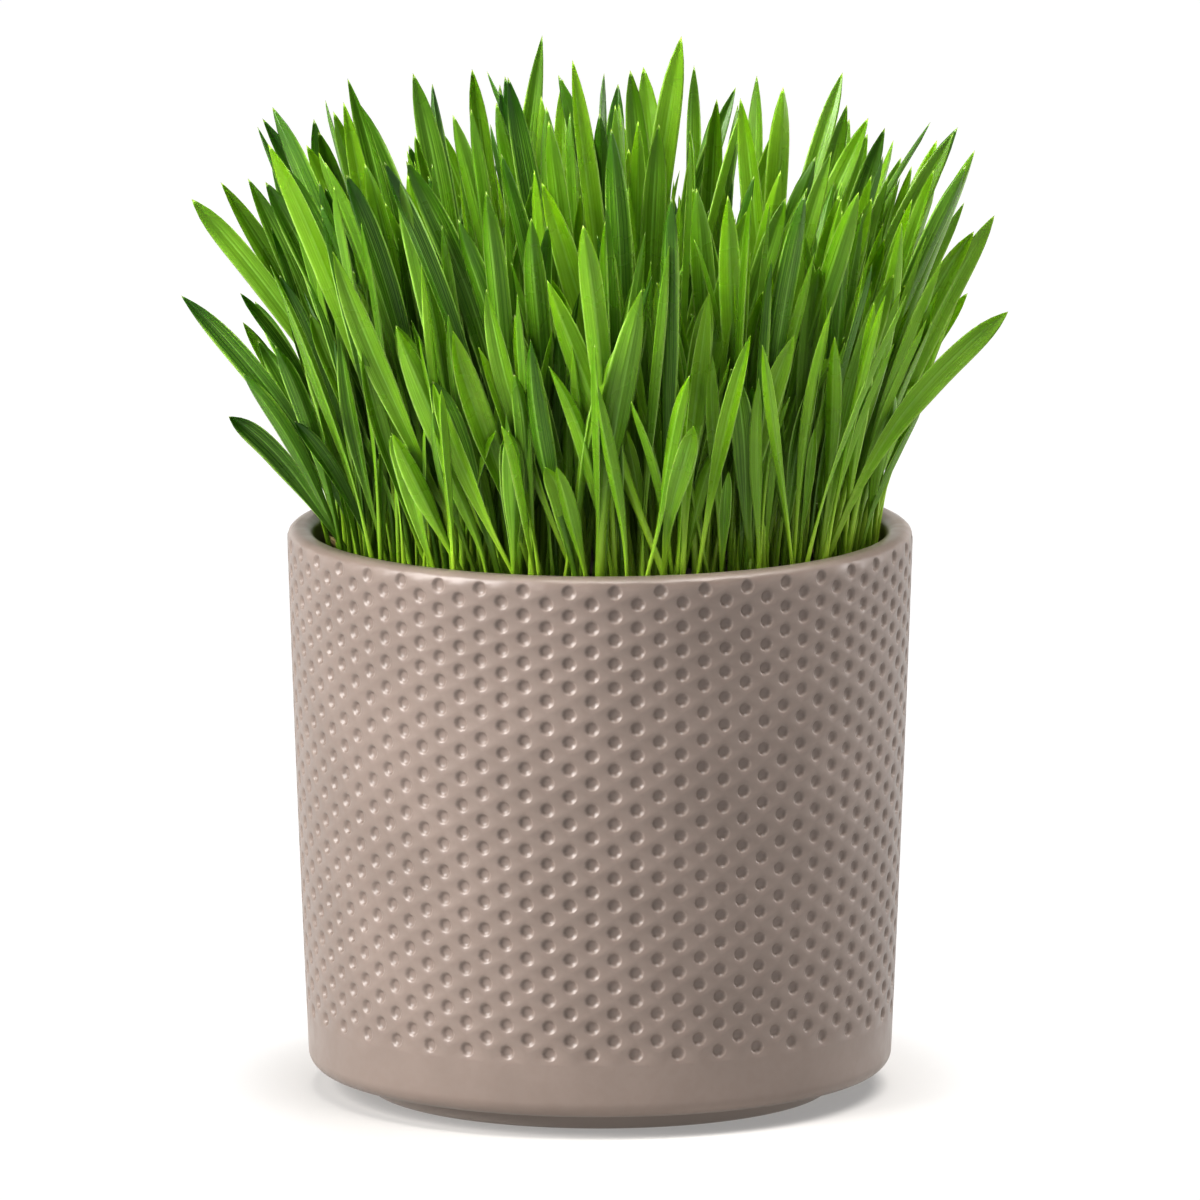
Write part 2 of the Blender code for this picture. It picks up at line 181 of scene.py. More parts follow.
SHORT_LEAVES = Kind(
    count=150,
    ring=(36 * MM, 65 * MM),
    length=(44 * MM, 90 * MM),
    width=(4.4 * MM, 7.6 * MM),
    tone=0.55,
    outward=15,
    sideways=15,
    turn=60,
)
THIN_LEAVES = Kind(
    count=260,
    ring=(4 * MM, 64 * MM),
    length=(58 * MM, 98 * MM),
    width=(2.8 * MM, 5.0 * MM),
    tone=0.38,
    outward=14,
    sideways=7,
    turn=110,
)
STEMS = Kind(
    count=150,
    ring=(53 * MM, 66 * MM),
    length=(40 * MM, 88 * MM),
    width=(2.6 * MM, 4.4 * MM),
    tone=0.85,
    outward=15,
    sideways=12,
    turn=90,
)
HUSK_CLEARANCE = 6 * MM

# Painted light and shade in the leaves' colour over the head, per metre to the right and to the back:
# paler to the right as painted light, deeper to the back as painted shade
PAINTED_LIGHT_RIGHT = 3.6
PAINTED_SHADE_BACK = 1.6

# The leaves that stand foremost, in mm: where each passes the rim, its tip, its width, how far its
# middle bows to the right, how bright it is (0 to 1), how far from the pot's axis it is rooted, and
# how far it leans to the front
FOREMOST_LEAVES = (
    # rim x, tip x, tip height, width, bow, brightness, root radius, lean
    (-35.1, -49.3, 170.2, 4.8, 0.0, 0.85, 64.0, 13),
    (-22.8, -39.5, 183.4, 4.4, -1.8, 1.00, 64.0, 13),
    (-42.7, -56.3, 188.2, 4.8, -1.4, 0.45, 62.1, 13),
    (-17.4, -34.7, 195.6, 6.7, -1.0, 0.80, 61.4, 13),
    (-28.4, -35.9, 198.5, 3.8, -0.5, 0.45, 59.5, 13),
    (-24.1, -48.3, 195.9, 7.2, -1.5, 0.60, 58.9, 13),
    (-25.3, -44.7, 196.9, 2.9, -0.5, 0.40, 56.3, 13),
    (-32.3, -63.2, 213.2, 6.2, -2.0, 0.55, 59.5, 13),
    (-52.7, -62.0, 189.9, 4.3, -1.2, 0.30, 62.1, 13),
    (-31.1, -39.5, 175.2, 3.6, -1.5, 0.40, 61.4, 13),
    (-20.4, -21.6, 172.1, 5.2, 0.3, 0.45, 64.0, 13),
    (-8.2, -26.9, 205.5, 5.5, -2.5, 0.55, 60.2, 13),
    (-6.5, -16.4, 194.1, 6.0, -1.4, 0.15, 62.7, 13),
    (13.7, -12.5, 208.0, 6.5, 0.0, 0.85, 62.1, 13),
    (0.2, 9.8, 207.5, 7.9, -1.9, 0.50, 64.0, 20),
    (2.7, -12.2, 187.6, 4.3, 2.4, 0.75, 61.4, 13),
    (-3.7, -10.4, 164.2, 4.1, 0.5, 0.65, 64.6, 13),
    (24.7, 13.3, 206.8, 3.6, -1.0, 0.50, 61.4, 13),
    (18.8, 25.7, 204.7, 5.0, 0.0, 0.75, 60.8, 13),
    (23.7, 35.6, 194.8, 4.1, -1.2, 0.95, 64.0, 13),
    (37.6, 39.9, 204.5, 5.3, 0.3, 0.80, 61.4, 13),
    (45.4, 37.2, 181.3, 3.4, 0.4, 0.60, 63.4, 13),
    (5.0, -2.8, 208.5, 2.9, -0.3, 0.60, 59.5, 13),
    (59.0, 48.4, 213.1, 4.8, 1.0, 0.60, 62.1, 13),
    (55.7, 71.7, 216.3, 5.3, 1.2, 0.85, 61.4, 13),
    (43.9, 51.8, 183.7, 4.1, -1.0, 0.30, 62.7, 13),
    (47.5, 51.0, 169.8, 2.4, 0.0, 0.55, 63.4, 13),
    (28.3, 26.6, 189.2, 3.8, -0.6, 0.65, 62.1, 13),
    (33.6, 36.0, 181.2, 4.1, 0.0, 0.20, 61.4, 13),
    (29.2, 30.4, 161.7, 2.9, 0.3, 0.45, 64.0, 13),
)
RIM_PASS = 139 * MM
FOREMOST_EDGE = -24 * MM

# Dry scraps that lie on the soil, and the seed husks
SCRAPS = 46
FLAKE_STEPS = 7
HUSK_RADIUS = 1.35 * MM
HUSK_RINGS = 22
HUSK_SIDES = 28


@dataclass
class Leaf:
    """A leaf: its curve from root by knee to tip, its width, and the way its face looks."""

    root: Vector
    knee: Vector
    tip: Vector
    width: float
    looks: tuple
    tone: float
    widest: float
    fullness: float
    fold: float
    sway: float
    steps: int = LEAF_STEPS


def smooth(value):
    """A soft step from 0 to 1."""
    value = min(1.0, max(0.0, value))
    return value * value * (3 - 2 * value)


def new_piece(name, points, faces, material, nodes=(), attributes=None):
    """A piece of the object: a smooth mesh that rides on the body and stands for some solids."""
    mesh = bpy.data.meshes.new(name)
    mesh.from_pydata(points, [], faces)
    mesh.update()
    mesh.shade_smooth()
    mesh.materials.append(material)
    for label, values in (attributes or {}).items():
        layer = mesh.attributes.new(label, "FLOAT", "POINT")
        layer.data.foreach_set("value", np.asarray(values, np.float32))
    piece = bpy.data.objects.new(name, mesh)
    bpy.context.scene.collection.objects.link(piece)
    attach(piece, "root")
    if nodes:
        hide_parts(*nodes)
    return piece


# Materials, with their colours as linear red, green and blue

GLAZE_COLOURS = ((0.221, 0.178, 0.154), (0.248, 0.200, 0.174))
GLAZE_SPECK = (0.214, 0.164, 0.139)
# paler colour for thin glaze at the dimples' edges, and for the painted light on the foot ring
GLAZE_THIN_AND_PAINTED_LIGHT = (0.42, 0.37, 0.335)
DEEP_LEAF = ((0.018, 0.074, 0.0005), (0.030, 0.104, 0.001))
BRIGHT_LEAF = ((0.165, 0.32, 0.004), (0.22, 0.39, 0.010))
LEAF_BACK = (0.12, 0.27, 0.015)
LEAF_VEIN = (0.32, 0.54, 0.07)
LEAF_MIDRIB = (0.33, 0.56, 0.14)
LEAF_EDGE = (0.42, 0.64, 0.16)
LEAF_STEM = (0.40, 0.58, 0.06)
LEAF_TIP = (0.34, 0.40, 0.10)
SOIL_COLOURS = ((0.010, 0.006, 0.004), (0.055, 0.032, 0.017))
SOIL_FIBRE = (0.14, 0.085, 0.04)
HUSK_COLOURS = ((0.42, 0.29, 0.12), (0.66, 0.52, 0.28))
HUSK_LINE = (0.30, 0.19, 0.07)
HUSK_END = (0.22, 0.13, 0.05)
FLOOR_COLOURS = ((0.37, 0.355, 0.34), (0.02, 0.02, 0.02))


class Nodes:
    """A short way to build a material's node tree."""

    def __init__(self, name):
        self.material = bpy.data.materials.new(name)
        self.material.use_nodes = True
        self.tree = self.material.node_tree
        self.shader = self.tree.nodes["Principled BSDF"]

    def add(self, kind, settings=None, **inputs):
        """A node with its settings and inputs; an input may be a value or another node's output."""
        node = self.tree.nodes.new(kind)
        for key, value in (settings or {}).items():
            setattr(node, key, value)
        for key, value in inputs.items():
            label = int(key[1:]) if key[1:].isdigit() else key.replace("_", " ")
            self.put(node.inputs[label], value)
        return node

    def put(self, socket, value):
        """Set a socket to a value, or link another node's output to it."""
        if isinstance(value, bpy.types.NodeSocket):
            self.tree.links.new(value, socket)
        elif isinstance(value, (tuple, list)) and len(value) == 3 and socket.type == "RGBA":
            socket.default_value = (*value, 1)
        else:
            socket.default_value = value

    def math(self, operation, first, second=0.0, third=0.0):
        """One sum of two or three values."""
        node = self.add("ShaderNodeMath", {"operation": operation}, i0=first, i1=second, i2=third)
        return node.outputs[0]

    def span(self, value, low, high, to_low=0.0, to_high=1.0):
        """A value's range mapped smoothly to another range."""
        settings = {"interpolation_type": "SMOOTHSTEP"}
        node = self.add("ShaderNodeMapRange", settings, i0=value, i1=low, i2=high, i3=to_low, i4=to_high)
        return node.outputs[0]

    def mix(self, share, first, second):
        """Two colours mixed."""
        node = self.add("ShaderNodeMix", {"data_type": "RGBA"}, i0=share)
        self.put(node.inputs[6], first)
        self.put(node.inputs[7], second)
        return node.outputs[2]

    def noise(self, scale, detail=3.0, roughness=0.5, stretch=None):
        """A noise in the object's own coordinates, in lumps of about 1/scale metres."""
        place = self.add("ShaderNodeTexCoord").outputs["Object"]
        if stretch:
            place = self.add("ShaderNodeMapping", None, i0=place, i3=stretch).outputs[0]
        node = self.add("ShaderNodeTexNoise", None, i0=place, i2=scale, i3=detail, i4=roughness)
        return node.outputs["Fac"]

    def value(self, label):
        """An attribute of the mesh."""
        return self.add("ShaderNodeAttribute", {"attribute_name": label}).outputs["Fac"]

    def bump(self, height, strength, distance):
        """A bump from a height."""
        node = self.add("ShaderNodeBump", None, Height=height, Strength=strength, Distance=distance)
        return node.outputs["Normal"]

    def finish(self, **inputs):
        """Set the shader's own inputs."""
        for key, value in inputs.items():
            self.put(self.shader.inputs[key.replace("_", " ")], value)
        return self.material


def glaze_material():
    """Taupe satin glaze: faint mottling, paler where it is thin at the dimples' edges, and a painted light
    that makes the foot ring paler.
    """
    nodes = Nodes("glaze")
    thin_glaze_and_painted_light = nodes.value("thin_glaze_and_painted_light")
    mottle = nodes.span(nodes.noise(38, 4), 0.3, 0.7)
    speck = nodes.span(nodes.noise(420, 2), 0.35, 0.7)
    color = nodes.mix(mottle, *GLAZE_COLOURS)
    color = nodes.mix(nodes.math("MULTIPLY", speck, 0.25), color, GLAZE_SPECK)
    # paler where the glaze is thin at the dimples' edges, and painted light on the foot ring
    color = nodes.mix(nodes.math("MULTIPLY", thin_glaze_and_painted_light, 0.6), color, GLAZE_THIN_AND_PAINTED_LIGHT)
    gloss = nodes.span(nodes.noise(160, 3), 0.3, 0.7, 0.35, 0.43)
    skin = nodes.bump(nodes.noise(260, 3), 0.05, 0.3 * MM)
    return nodes.finish(
        Base_Color=color,
        Roughness=gloss,
        Normal=skin,
        Coat_Weight=0.12,
        Coat_Roughness=0.2,
    )


def leaf_material():
    """Fresh leaf: fine parallel veins, a pale midrib and edges, and a pale stem."""
    nodes = Nodes("leaf")
    across = nodes.value("across")
    along = nodes.value("along")
    tone = nodes.value("tone")
    back = nodes.value("back")
    off_middle = nodes.math("ABSOLUTE", across)
    patches = nodes.span(nodes.noise(55, 3), 0.3, 0.7)
    deep = nodes.mix(patches, *DEEP_LEAF)
    bright = nodes.mix(patches, *BRIGHT_LEAF)
    # the tone holds each leaf's own depth of green, with painted light at the right of the head and
    # painted shade at its back
    color = nodes.mix(nodes.span(tone, 0.0, 1.0), deep, bright)
    greyer = nodes.mix(0.35, color, LEAF_BACK)
    color = nodes.mix(nodes.math("MULTIPLY", back, 0.6), color, greyer)
    stretched = nodes.math("MULTIPLY", across, 7.0)
    spot = nodes.add("ShaderNodeCombineXYZ", None, X=stretched, Y=along, Z=tone)
    streaks = nodes.add("ShaderNodeTexNoise", None, Vector=spot.outputs[0], Scale=1.6, Detail=3.0)
    vein = nodes.span(streaks.outputs[0], 0.36, 0.66)
    on_blade = nodes.span(along, 0.22, 0.45)
    on_blade = nodes.math("MULTIPLY", on_blade, nodes.span(along, 0.84, 0.96, 1.0, 0.0))
    streak = nodes.math("MULTIPLY", nodes.math("MULTIPLY", vein, on_blade), 0.36)
    color = nodes.mix(streak, color, LEAF_VEIN)
    rib = nodes.span(off_middle, 0.0, 0.11, 1.0, 0.0)
    rib = nodes.math("MULTIPLY", rib, on_blade)
    color = nodes.mix(nodes.math("MULTIPLY", rib, 0.3), color, LEAF_MIDRIB)
    edge = nodes.math("MULTIPLY", nodes.span(off_middle, 0.82, 1.0), on_blade)
    color = nodes.mix(nodes.math("MULTIPLY", edge, 0.8), color, LEAF_EDGE)
    stem = nodes.span(along, 0.06, 0.48, 1.0, 0.0)
    stem = nodes.math("MULTIPLY", stem, nodes.span(tone, 0.0, 1.0, 0.12, 0.95))
    color = nodes.mix(stem, color, LEAF_STEM)
    color = nodes.mix(nodes.span(along, 0.985, 1.0, 0.0, 0.5), color, LEAF_TIP)
    ribs = nodes.bump(vein, nodes.math("MULTIPLY", on_blade, 0.45), 0.12 * MM)
    gloss = nodes.span(nodes.noise(90, 3), 0.3, 0.7, 0.25, 0.35)
    nodes.shader.subsurface_method = "BURLEY"
    return nodes.finish(
        Base_Color=color,
        Roughness=gloss,
        Normal=ribs,
        Subsurface_Weight=0.25,
        Subsurface_Radius=(0.6, 1.0, 0.12),
        Subsurface_Scale=0.9 * MM,
        Specular_IOR_Level=0.5,
    )


def soil_material():
    """Damp potting soil: nearly black, with brown fibres."""
    nodes = Nodes("damp_soil")
    lumps = nodes.span(nodes.noise(300, 6, 0.65), 0.35, 0.7)
    fibre = nodes.span(nodes.noise(700, 4, 0.6, (1, 0.25, 1)), 0.55, 0.72)
    color = nodes.mix(lumps, *SOIL_COLOURS)
    color = nodes.mix(nodes.math("MULTIPLY", fibre, 0.6), color, SOIL_FIBRE)
    grain = nodes.bump(nodes.noise(900, 5, 0.7), 0.6, 0.6 * MM)
    dullness = nodes.span(lumps, 0, 1, 0.75, 0.95)
    return nodes.finish(Base_Color=color, Roughness=dullness, Normal=grain)


def husk_material():
    """Dry straw-coloured husk with fine lengthwise lines."""
    nodes = Nodes("dry_husk")
    along = nodes.value("along")
    across = nodes.value("across")
    wave = nodes.math("SINE", nodes.math("MULTIPLY", across, 60.0))
    lines = nodes.math("MULTIPLY_ADD", wave, 0.5, 0.5)
    color = nodes.mix(nodes.span(nodes.noise(500, 4), 0.3, 0.7), *HUSK_COLOURS)
    color = nodes.mix(nodes.math("MULTIPLY", lines, 0.35), color, HUSK_LINE)
    color = nodes.mix(nodes.span(along, 0.6, 1.0, 0.0, 0.5), color, HUSK_END)
    return nodes.finish(Base_Color=color, Roughness=0.6, Normal=nodes.bump(lines, 0.4, 0.15 * MM))


def floor_material():
    """A plain white light table: it glows evenly, and takes only the soft shadow near the pot."""
    nodes = Nodes("white_floor")
    place = nodes.add("ShaderNodeTexCoord").outputs["Object"]
    place = nodes.add("ShaderNodeMapping", None, i0=place, i3=(1, FLOOR_FADE_DEPTH, 1)).outputs[0]
    reach = nodes.add("ShaderNodeVectorMath", {"operation": "LENGTH"}, i0=place).outputs["Value"]
    far = nodes.span(reach, *FLOOR_FADE)
    paper = nodes.mix(far, *FLOOR_COLOURS)
    glow = nodes.span(far, 0, 1, *FLOOR_GLOW)
    return nodes.finish(
        Base_Color=paper,
        Roughness=0.9,
        Specular_IOR_Level=0.0,
        Emission_Color=(1, 1, 1),
        Emission_Strength=glow,
    )


# The pot


def outer_radius(height):
    """The wall's outer radius at a height, up over the rim's rounding."""
    low = UNDERSIDE + CORNER_RADIUS
    share = (height - low) / (SWELL_TOP - low)
    radius = POT_LOW_RADIUS + (POT_TOP_RADIUS - POT_LOW_RADIUS) * share
    radius += 4 * POT_SWELL * share * (1 - share)
    over = height - (POT_HEIGHT - RIM_ROUNDING)
    if over > 0:
        radius -= RIM_ROUNDING - math.sqrt(RIM_ROUNDING**2 - over**2)
    return radius


def arc_points(centre_r, centre_z, radius, start, stop, steps):
    """Points of a round edge in the pot's profile, from one angle to another in degrees."""
    points = []
    for step in range(steps + 1):
        angle = math.radians(start + (stop - start) * step / steps)
        points.append((centre_r + radius * math.cos(angle), centre_z + radius * math.sin(angle)))
    return points


def row_heights():
    """The height of each row of dimples, from the top one down."""
    heights = [TOP_ROW]
    for row in range(1, DIMPLE_ROWS):
        heights.append(heights[-1] - (CLOSE_PITCH if row <= CLOSE_ROWS else ROW_PITCH))
    return heights


def cell_outline(heights, row):
    """The corners and edge points of the patch round a dimple, as offsets (across, up)."""
    middle = heights[row]
    step = HALF_STEP
    if row > 0:
        above = heights[row - 1] - middle
        upper = [(step, 0), (step * 2 / 3, above / 3), (step / 3, above * 2 / 3)]
        upper += [(0, above), (-step / 3, above * 2 / 3), (-step * 2 / 3, above / 3)]
    else:
        rise = BAND_TOP - middle
        upper = [(step, 0), (step, rise), (step / 2, rise), (0, rise), (-step / 2, rise), (-step, rise)]
    if row < DIMPLE_ROWS - 1:
        below = middle - heights[row + 1]
        lower = [(-step, 0), (-step * 2 / 3, -below / 3), (-step / 3, -below * 2 / 3)]
        lower += [(0, -below), (step / 3, -below * 2 / 3), (step * 2 / 3, -below / 3)]
    else:
        fall = -BAND_MARGIN
        lower = [(-step, 0), (-step, fall), (-step / 2, fall), (0, fall), (step / 2, fall), (step, fall)]
    return upper + lower


def dimple_cell(heights, row, turn):
    """One dimple with the patch of wall round it: points, faces and how thin the glaze is."""
    middle = heights[row]
    points = []
    thin_glaze_and_painted_light = []

    def place(angle, height, depth, thinness):
        radius = outer_radius(height) - depth
        points.append((radius * math.cos(turn + angle), radius * math.sin(turn + angle), height))
        thin_glaze_and_painted_light.append(thinness)

    place(0, middle, DIMPLE_DEPTH, 0.0)
    radius = outer_radius(middle)
    for reach, depth in DIMPLE_RINGS:
        for side in range(CELL_SIDES):
            angle = 2 * math.pi * side / CELL_SIDES
            across = DIMPLE_RADIUS * reach * math.cos(angle) / radius
            up = DIMPLE_RADIUS * reach * math.sin(angle)
            at_edge = 0.9 < reach < 1.1
            place(across, middle + up, DIMPLE_DEPTH * depth, DIMPLE_EDGE_THINNESS if at_edge else 0.0)
    for across, up in cell_outline(heights, row):
        place(across, middle + up, 0, 0.0)
    faces = []
    for side in range(CELL_SIDES):
        turned = (side + 1) % CELL_SIDES
        faces.append((0, 1 + side, 1 + turned))
        for ring in range(len(DIMPLE_RINGS)):
            low = 1 + ring * CELL_SIDES
            high = low + CELL_SIDES
            faces.append((low + side, high + side, high + turned, low + turned))
    return points, faces, thin_glaze_and_painted_light


def pot_rings():
    """The smooth rings of the pot's profile: those below the dimples and those above them."""
    corner_z = UNDERSIDE + CORNER_RADIUS
    corner_r = outer_radius(corner_z) - CORNER_RADIUS
    band_low = row_heights()[-1] - BAND_MARGIN
    below = [(FOOT_INNER_RADIUS * 0.02, FOOT_RECESS), (FOOT_INNER_RADIUS - FOOT_EDGE, FOOT_RECESS)]
    below += [(FOOT_INNER_RADIUS, FOOT_RECESS - FOOT_EDGE), (FOOT_INNER_RADIUS, FOOT_EDGE)]
    below += arc_points(FOOT_INNER_RADIUS + FOOT_EDGE, FOOT_EDGE, FOOT_EDGE, 180, 270, 3)
    below += arc_points(FOOT_RADIUS - FOOT_EDGE, FOOT_EDGE, FOOT_EDGE, -90, 0, 4)
    below += arc_points(FOOT_RADIUS + FOOT_EDGE, UNDERSIDE - FOOT_EDGE, FOOT_EDGE, 180, 90, 3)
    below += arc_points(corner_r, corner_z, CORNER_RADIUS, -90, 0, 10)
    for height in (12.5 * MM, 15.5 * MM):
        below.append((outer_radius(height), height))
    below.append((outer_radius(band_low), band_low))
    above = [(outer_radius(BAND_TOP), BAND_TOP)]
    rim_z = POT_HEIGHT - RIM_ROUNDING
    rise = math.degrees(math.asin((BAND_TOP - rim_z) / RIM_ROUNDING))
    rim_r = outer_radius(rim_z) - RIM_ROUNDING
    above += arc_points(rim_r, rim_z, RIM_ROUNDING, rise, 90, 5)[1:]
    inner_r = POT_TOP_RADIUS - WALL + RIM_ROUNDING
    above += arc_points(inner_r, rim_z, RIM_ROUNDING, 90, 180, 7)
    above += [(POT_TOP_RADIUS - WALL - 0.2 * MM, SOIL_TOP), (POT_LOW_RADIUS - WALL, FLOOR_TOP + 3 * MM)]
    above += [(POT_LOW_RADIUS - WALL - 3 * MM, FLOOR_TOP), (2 * MM, FLOOR_TOP)]
    return below, above


def painted_foot_light(radius, height):
    """How much painted light makes the foot ring paler, 0 to 1, in place of the light that it takes from
    the floor; none on the wall.
    """
    return smooth((UNDERSIDE + 0.2 * MM - height) / MM) * smooth((radius - FOOT_INNER_RADIUS) / (5 * MM))


def add_dimples(points, faces, thin_glaze_and_painted_light):
    """The dimpled stretch of the wall."""
    heights = row_heights()
    for row in range(DIMPLE_ROWS):
        for index in range(DIMPLES_PER_ROW):
            turn = WALL_FRONT + HALF_STEP * (2 * index + row % 2)
            cell, cell_faces, cell_thin = dimple_cell(heights, row, turn)
            start = len(points)
            points += cell
            faces += [tuple(start + corner for corner in face) for face in cell_faces]
            thin_glaze_and_painted_light += cell_thin


def add_rings(points, faces, thin_glaze_and_painted_light, rings):
    """A smooth stretch of the pot; returns its rows of points."""
    rows = []
    for radius, height in rings:
        rows.append(range(len(points), len(points) + WALL_SIDES))
        for side in range(WALL_SIDES):
            angle = WALL_FRONT + 2 * math.pi * side / WALL_SIDES
            points.append((radius * math.cos(angle), radius * math.sin(angle), height))
            # painted light on the foot ring: a paler colour in place of the floor's light on it
            thin_glaze_and_painted_light.append(painted_foot_light(radius, height))
    for low, high in zip(rows, rows[1:]):
        for side in range(WALL_SIDES):
            turned = (side + 1) % WALL_SIDES
            faces.append((low[side], low[turned], high[turned], high[side]))
    return rows


def make_pot(material):
    """The pot in one mesh: dimpled wall, foot, rim and inside."""
    points = []
    faces = []
    thin_glaze_and_painted_light = []
    add_dimples(points, faces, thin_glaze_and_painted_light)
    below, above = pot_rings()
    lowest = add_rings(points, faces, thin_glaze_and_painted_light, below)[0]
    faces.append(tuple(reversed(lowest)))
    inmost = add_rings(points, faces, thin_glaze_and_painted_light, above)[-1]
    faces.append(tuple(inmost))
    pot = new_piece("glazed_pot", points, faces, material, ["pot"], {"thin_glaze_and_painted_light": thin_glaze_and_painted_light})
    weld(pot.data)


def weld(mesh):
    """Join the points that lie on each other, and turn all faces outwards."""
    shape = bmesh.new()
    shape.from_mesh(mesh)
    bmesh.ops.remove_doubles(shape, verts=shape.verts, dist=MESH_WELD)
    bmesh.ops.recalc_face_normals(shape, faces=shape.faces)
    shape.to_mesh(mesh)
    shape.free()
    mesh.update()


# The soil and what lies on it


def clump_places():
    """Where each tuft's clump of roots stands in the soil."""
    places = []
    for name in sorted(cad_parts):
        if name.startswith("tuft"):
            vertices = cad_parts[name].data.vertices
            low = [vert.co for vert in vertices if vert.co.z < SOIL_TOP - 5 * MM]
            places.append(sum((Vector((co.x, co.y, 0)) for co in low), Vector()) / len(low))
    return places


def soil_height(x, y, clumps):
    """The soil's surface: a level bed that rises at each clump of roots, and is rough all over."""
    spot = Vector((x, y, 0))
    near = min((spot - clump).length for clump in clumps)
    rough = noise.fractal(spot * 160, 0.8, 2.1, 4) * SOIL_ROUGHNESS
    reach = math.hypot(x, y)
    calm = 1 - 0.75 * smooth((reach - 60 * MM) / (8 * MM))
    return SOIL_TOP + MOUND_RISE * smooth(1 - (near - 3 * MM) / MOUND_RADIUS) + rough * calm


def make_soil(clumps, material):
    """The bed of soil, closed below, with crumbs on it."""
    draw = random.Random(SEED)
    points = [(0, 0, soil_height(0, 0, clumps))]
    faces = []
    for ring in range(1, SOIL_RINGS + 1):
        radius = SOIL_RADIUS * ring / SOIL_RINGS
        for side in range(SOIL_SIDES):
            angle = 2 * math.pi * side / SOIL_SIDES
            x = radius * math.cos(angle)
            y = radius * math.sin(angle)
            points.append((x, y, soil_height(x, y, clumps)))
    low_radius = SOIL_TAPER * SOIL_RADIUS
    for side in range(SOIL_SIDES):
        angle = 2 * math.pi * side / SOIL_SIDES
        points.append((low_radius * math.cos(angle), low_radius * math.sin(angle), SOIL_BOTTOM))
    for side in range(SOIL_SIDES):
        turned = (side + 1) % SOIL_SIDES
        faces.append((0, 1 + side, 1 + turned))
        for ring in range(SOIL_RINGS):
            low = 1 + ring * SOIL_SIDES
            high = low + SOIL_SIDES
            faces.append((low + side, high + side, high + turned, low + turned))
    last = 1 + SOIL_RINGS * SOIL_SIDES
    faces.append(tuple(range(last + SOIL_SIDES - 1, last - 1, -1)))
    for index in range(CRUMBS):
        radius = CRUMB_REACH * SOIL_RADIUS * math.sqrt(draw.random())
        angle = draw.uniform(0, 2 * math.pi)
        size = draw.uniform(*CRUMB_SIZES)
        x = radius * math.cos(angle)
        y = radius * math.sin(angle)
        add_lump(points, faces, Vector((x, y, soil_height(x, y, clumps) + 0.3 * size)), size, draw)
    new_piece("soil_bed", points, faces, material, ["soil"])


def add_lump(points, faces, centre, size, draw):
    """A small rough crumb."""
    shape = bmesh.new()
    bmesh.ops.create_icosphere(shape, subdivisions=1, radius=1)
    stretch = Vector((draw.uniform(0.7, 1.3), draw.uniform(0.7, 1.3), draw.uniform(0.5, 0.9)))
    seed = Vector((draw.uniform(0, 90), draw.uniform(0, 90), draw.uniform(0, 90)))
    start = len(points)
    for vert in shape.verts:
        bulge = 1 + 0.45 * noise.noise(vert.co * 1.3 + seed)
        points.append(tuple(centre + vert.co * stretch * bulge * size))
    shape.verts.index_update()
    faces += [tuple(start + vert.index for vert in face.verts) for face in shape.faces]
    shape.free()


def make_scraps(clumps, material):
    """Brown curled flakes of dry leaf on the soil, most of them near the wall."""
    draw = random.Random(SEED + 1)
    points = []
    faces = []
    values = {"across": [], "along": []}
    for index in range(SCRAPS):
        angle = draw.uniform(0, 2 * math.pi)
        radius = draw.uniform(40, 65) * MM
        place = Vector((radius * math.cos(angle), radius * math.sin(angle), 0))
        place.z = soil_height(place.x, place.y, clumps) + draw.uniform(0.5, 1.6) * MM
        ahead = Vector((draw.gauss(0, 1), draw.gauss(0, 1), draw.gauss(0, 0.3))).normalized()
        side = ahead.cross(Vector((draw.gauss(0, 0.4), draw.gauss(0, 0.4), 1))).normalized()
        add_flake(points, faces, values, place, ahead, side, draw)
    new_piece("dry_scraps", points, faces, material, [], values)


def add_flake(points, faces, values, place, ahead, side, draw):
    """A thin curled flake, closed all round."""
    length = draw.uniform(2.2, 5.5) * MM
    half = draw.uniform(0.35, 0.9) * MM
    curl = draw.uniform(0.5, 2.4)
    up = side.cross(ahead)
    start = len(points)
    for step in range(FLAKE_STEPS):
        along = step / (FLAKE_STEPS - 1)
        turn = curl * (along - 0.5)
        centre = place + ahead * length * math.sin(turn) / curl
        centre += up * length * (1 - math.cos(turn)) / curl
        out = up * math.cos(turn) - ahead * math.sin(turn)
        wide = half * (1 - 0.75 * abs(2 * along - 1) ** 2.5)
        for across, lift in ((-1, 0.35), (0, 0.1), (1, 0.35), (0, -0.06)):
            points.append(tuple(centre + side * across * wide + out * lift * half))
            values["across"].append(0.5 + 0.5 * across)
            values["along"].append(along)
    for step in range(FLAKE_STEPS - 1):
        low = start + 4 * step
        for corner in range(4):
            turned = (corner + 1) % 4
            faces.append((low + corner, low + turned, low + 4 + turned, low + 4 + corner))
    last = start + 4 * (FLAKE_STEPS - 1)
    faces.append((start + 3, start + 2, start + 1, start))
    faces.append((last, last + 1, last + 2, last + 3))


def husk_axes(node):
    """A husk's middle, its long axis and its length, from its solid."""
    co = np.array([vert.co for vert in node.data.vertices])
    middle = (co.min(0) + co.max(0)) / 2
    spread = np.linalg.svd(co - co.mean(0), full_matrices=False)[2][0]
    if spread[2] < 0:
        spread = -spread
    reach = (co - middle) @ spread
    return Vector(middle), Vector(spread), float(reach.max() - reach.min())


